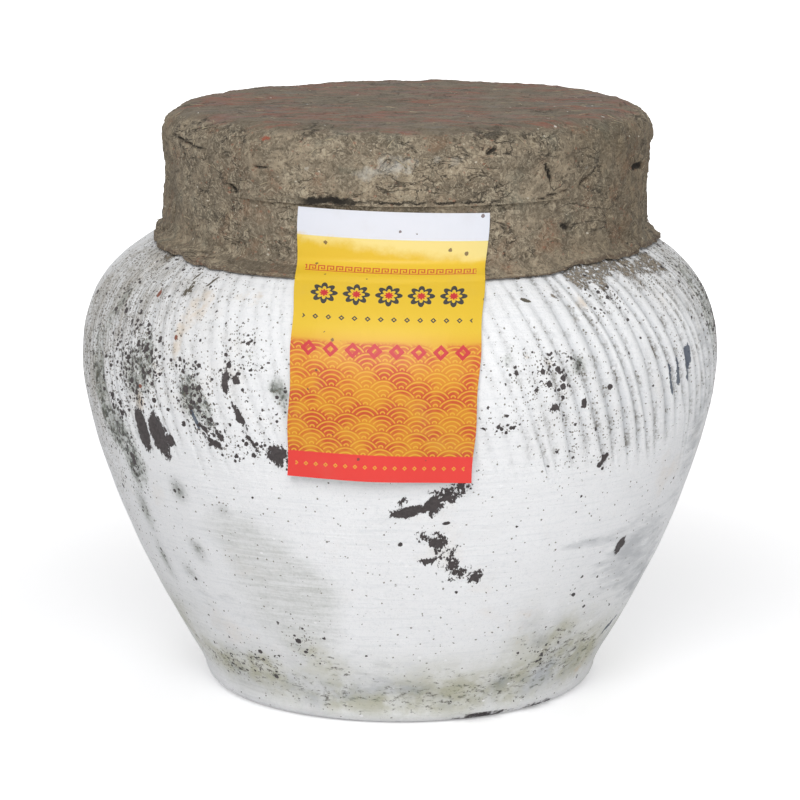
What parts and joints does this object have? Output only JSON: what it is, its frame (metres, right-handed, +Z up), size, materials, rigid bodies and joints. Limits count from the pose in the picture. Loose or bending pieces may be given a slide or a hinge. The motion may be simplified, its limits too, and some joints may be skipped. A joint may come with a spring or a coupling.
{
  "type": "sealed rice wine jar",
  "caption": "Limewashed stoneware wine jar whose mouth is closed by leaves, a clay saucer and a bamboo tie under a cap of dried mud with a paper slip.",
  "frame": {"origin": "centre of the flat base, on the surface that the jar stands on", "axes": "+Z up along the jar's turning axis, the front with the paper slip towards -Y, +X to the right as seen from the front"},
  "size_m": [0.397, 0.3986, 0.364],
  "materials": {
    "limewashed_stoneware": "matte, brushed limewash over dark stoneware, flaked in places",
    "lotus_leaf": "dry leaf",
    "saucer_clay": "unglazed, matte",
    "bamboo_sheath": "dry husk, faintly ribbed",
    "bamboo_strip": "split bamboo, satin",
    "dried_mud": "rough, fibrous, matte",
    "printed_paper": "coated paper, slightly glossy"
  },
  "bodies": {
    "jar": {"jar_body": "limewashed_stoneware"},
    "lid": {"inner_leaf": "lotus_leaf", "saucer_lid": "saucer_clay"},
    "wrap": {"outer_leaf": "lotus_leaf", "sheath_lower": "bamboo_sheath", "sheath_upper": "bamboo_sheath"},
    "tie": {"bamboo_tie": "bamboo_strip"},
    "seal": {"mud_seal": "dried_mud", "paper_label": "printed_paper"}
  },
  "joints": [
    {"name": "lid_lift", "type": "slide", "parent": "jar", "child": "lid", "axis": [0, 0, 1], "range_m": [0, 0.1]},
    {"name": "wrap_lift", "type": "slide", "parent": "lid", "child": "wrap", "axis": [0, 0, 1], "range_m": [0, 0.06]},
    {"name": "tie_lift", "type": "slide", "parent": "wrap", "child": "tie", "axis": [0, 0, 1], "range_m": [0, 0.05]},
    {"name": "seal_lift", "type": "slide", "parent": "tie", "child": "seal", "axis": [0, 0, 1], "range_m": [0, 0.12]}
  ]
}
